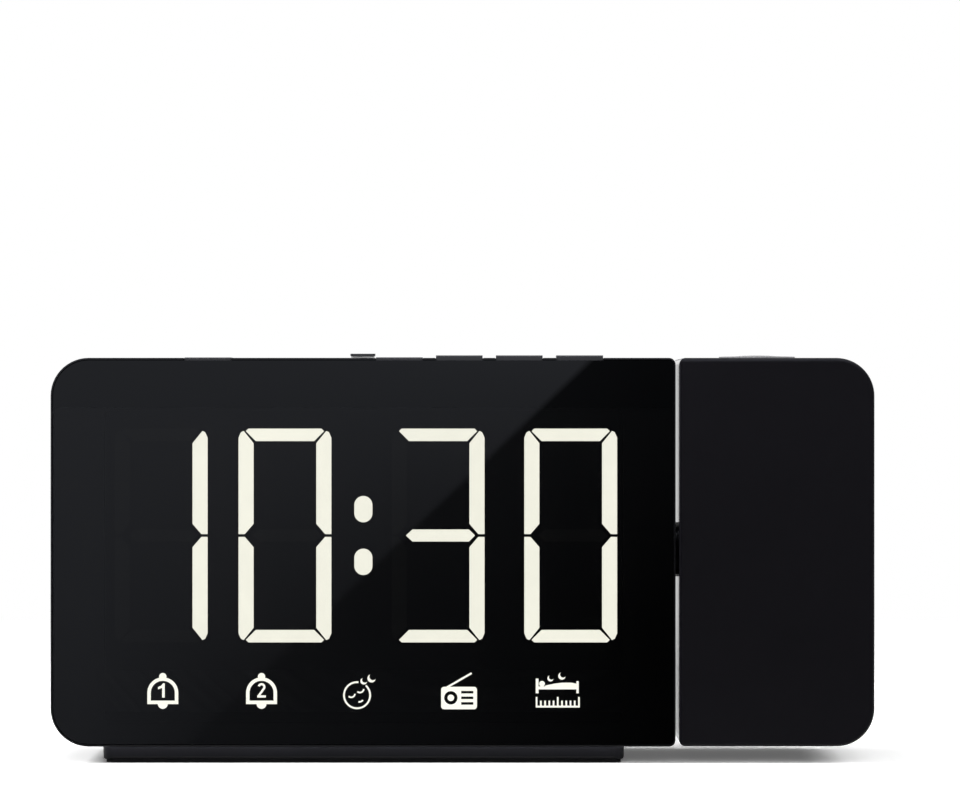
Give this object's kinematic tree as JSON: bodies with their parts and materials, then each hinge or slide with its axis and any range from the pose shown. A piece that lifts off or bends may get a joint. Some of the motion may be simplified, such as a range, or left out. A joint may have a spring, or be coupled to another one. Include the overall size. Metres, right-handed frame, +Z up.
{
  "type": "projection alarm clock",
  "caption": "Long black table clock with a mirror-dark segment display, top keys and a swivelling projector head on its right-hand end, on a low foot.",
  "frame": {"origin": "middle of the clock's plan, on the table that the foot's sole stands on", "axes": "+X to the clock's right as seen from the front, +Y to the back, +Z up; the display faces -Y"},
  "size_m": [0.1904, 0.038, 0.0948],
  "materials": {
    "case_plastic": "fine-textured black moulding",
    "head_plastic": "soft-touch black",
    "smoked_acrylic": "glossy smoked sheet",
    "dark_film": "printed film",
    "reflector_plastic": "satin",
    "lit_diffuser": "milky, lit from behind",
    "unlit_diffuser": "milky, unlit behind the smoked sheet",
    "board": "glass-fibre laminate with green lacquer",
    "led_chip": "moulded",
    "flat_cable": "satin",
    "chip_plastic": "moulded",
    "screw_steel": "zinc plated",
    "plated_steel": "nickel plated",
    "cone_paper": "coated paper",
    "magnet": "ground ferrite",
    "socket_plastic": "moulded",
    "contact_brass": "plated",
    "rubber_black": "matt",
    "foot_plastic": "satin",
    "key_plastic": "satin",
    "slider_plastic": "light grey moulding",
    "hinge_plastic": "satin",
    "ring_plastic": "satin, milled edge",
    "clear_lens": "polished",
    "slide_glass": "polished",
    "red_epoxy": "clear red",
    "lead_sleeve": "satin"
  },
  "bodies": {
    "clock_body": {"front_housing": "case_plastic", "rear_housing": "case_plastic", "front_panel": "smoked_acrylic", "icon_film": "dark_film", "display_reflector": "reflector_plastic", "lit_segments": "lit_diffuser", "unlit_segments": "unlit_diffuser", "icon_diffusers": "lit_diffuser", "display_board": "board", "display_leds": "led_chip", "display_ribbon": "flat_cable", "main_board": "board", "main_board_parts": "chip_plastic", "board_screws": "screw_steel", "key_board": "board", "key_switches": "chip_plastic", "dimmer_switch": "plated_steel", "speaker_frame": "socket_plastic", "speaker_cone": "cone_paper", "speaker_magnet": "magnet", "dc_jack": "socket_plastic", "usb_socket": "plated_steel", "antenna_grommet": "rubber_black", "coin_cell": "plated_steel", "cell_contacts": "contact_brass", "foot": "foot_plastic", "foot_sole": "rubber_black", "foot_screws": "screw_steel", "case_screws": "screw_steel", "body_leads": "lead_sleeve", "friction_washer": "screw_steel"},
    "projector_head": {"hinge_tube": "hinge_plastic", "head_front_shell": "head_plastic", "head_rear_shell": "head_plastic", "head_screws": "screw_steel", "lens_tube": "hinge_plastic", "lamp_board": "board", "lamp_screws": "screw_steel", "projector_lamp": "red_epoxy", "condenser_lens": "clear_lens", "time_slide": "slide_glass", "head_leads": "lead_sleeve"},
    "focus_lens": {"focus_ring": "ring_plastic", "front_lens": "clear_lens"},
    "lens_slide": {"lens_barrel": "hinge_plastic", "projection_lens": "clear_lens"},
    "battery_cover": {"battery_door": "case_plastic"},
    "dimmer": {"dimmer_slider": "slider_plastic", "dimmer_cap": "key_plastic"},
    "snooze_button": {"snooze_key": "key_plastic"},
    "radio_button": {"radio_key": "key_plastic"},
    "set_button": {"set_key": "key_plastic"},
    "down_button": {"down_key": "key_plastic"},
    "up_button": {"up_key": "key_plastic"}
  },
  "joints": [
    {"name": "head_swivel", "type": "hinge", "parent": "clock_body", "child": "projector_head", "pos_m": [0.05, 0, 0.0488], "axis": [1, 0, 0], "range_deg": [-90, 90]},
    {"name": "focus_turn", "type": "hinge", "parent": "projector_head", "child": "focus_lens", "pos_m": [0.0693, 0, 0.09], "axis": [0, 0, 1], "range_deg": [-60, 60]},
    {"name": "barrel_travel", "type": "slide", "parent": "projector_head", "child": "lens_slide", "axis": [0, 0, 1], "range_m": [-0.0008, 0.0008]},
    {"name": "cover_pull", "type": "slide", "parent": "clock_body", "child": "battery_cover", "axis": [0, 1, 0], "range_m": [0, 0.02]},
    {"name": "dimmer_shift", "type": "slide", "parent": "clock_body", "child": "dimmer", "axis": [1, 0, 0], "range_m": [-0.002, 0.002]},
    {"name": "snooze_press", "type": "slide", "parent": "clock_body", "child": "snooze_button", "axis": [0, 0, -1], "range_m": [0, 0.0005], "stiffness_N_per_m": 1500, "springref_m": -0.0002},
    {"name": "radio_press", "type": "slide", "parent": "clock_body", "child": "radio_button", "axis": [0, 0, -1], "range_m": [0, 0.0005], "stiffness_N_per_m": 1500, "springref_m": -0.0002},
    {"name": "set_press", "type": "slide", "parent": "clock_body", "child": "set_button", "axis": [0, 0, -1], "range_m": [0, 0.0005], "stiffness_N_per_m": 1500, "springref_m": -0.0002},
    {"name": "down_press", "type": "slide", "parent": "clock_body", "child": "down_button", "axis": [0, 0, -1], "range_m": [0, 0.0005], "stiffness_N_per_m": 1500, "springref_m": -0.0002},
    {"name": "up_press", "type": "slide", "parent": "clock_body", "child": "up_button", "axis": [0, 0, -1], "range_m": [0, 0.0005], "stiffness_N_per_m": 1500, "springref_m": -0.0002}
  ],
  "couplings": [
    {"joint": "barrel_travel", "follows": "focus_turn", "m_per_rad": 0.0007639}
  ]
}
